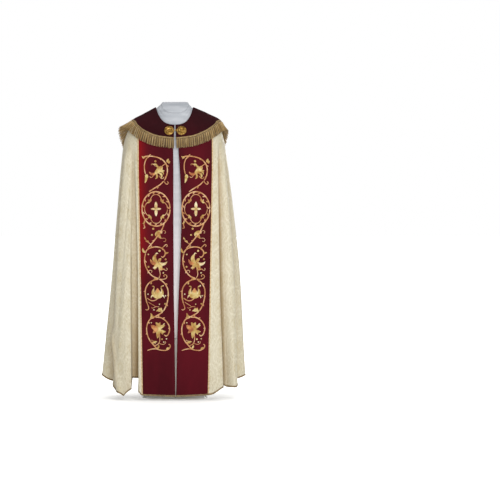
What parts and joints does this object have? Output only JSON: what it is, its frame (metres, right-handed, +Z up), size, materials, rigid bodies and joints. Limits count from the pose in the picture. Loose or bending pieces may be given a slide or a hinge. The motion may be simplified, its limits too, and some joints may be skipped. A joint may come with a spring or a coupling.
{
  "type": "cope vestment on limbless dress form",
  "caption": "Floor-length brocade cope with velvet orphreys, a pointed fringed hood and a round clasp, on a white limbless dress form with a disc base.",
  "frame": {"origin": "middle of the base's underside, on the floor", "axes": "+Z up; the open front faces -Y; the wearer's left is +X"},
  "size_m": [0.7283, 0.5301, 1.4962],
  "materials": {
    "brocade": "cream damask brocade with pale gold figures, soft sheen",
    "velvet": "deep burgundy velvet with gold embroidery",
    "gold_braid": "woven cream and gold braid",
    "gold_fringe": "old gold cut fringe",
    "gilt_metal": "gilt filigree, worn bright",
    "pale_metal": "pale plated wire",
    "form_cover": "smooth white jersey cover",
    "white_paint": "satin white paint"
  },
  "bodies": {
    "root": {"mantle_left": "brocade", "mantle_back": "brocade", "mantle_right": "brocade", "orphrey_left": "velvet", "orphrey_right": "velvet", "orphrey_edging_left": "gold_braid", "orphrey_edging_right": "gold_braid", "hem_braid_left": "gold_braid", "hem_braid_back": "gold_braid", "hem_braid_right": "gold_braid", "hood": "velvet", "fringe": "gold_fringe", "fringe_heading": "gold_braid", "clasp_boss_left": "gilt_metal", "clasp_boss_right": "gilt_metal", "clasp_hook": "pale_metal", "clasp_eye": "pale_metal", "form_torso": "form_cover", "form_neck_cap": "form_cover", "stand_pole": "white_paint", "stand_collar": "white_paint", "stand_base": "white_paint"}
  },
  "joints": []
}
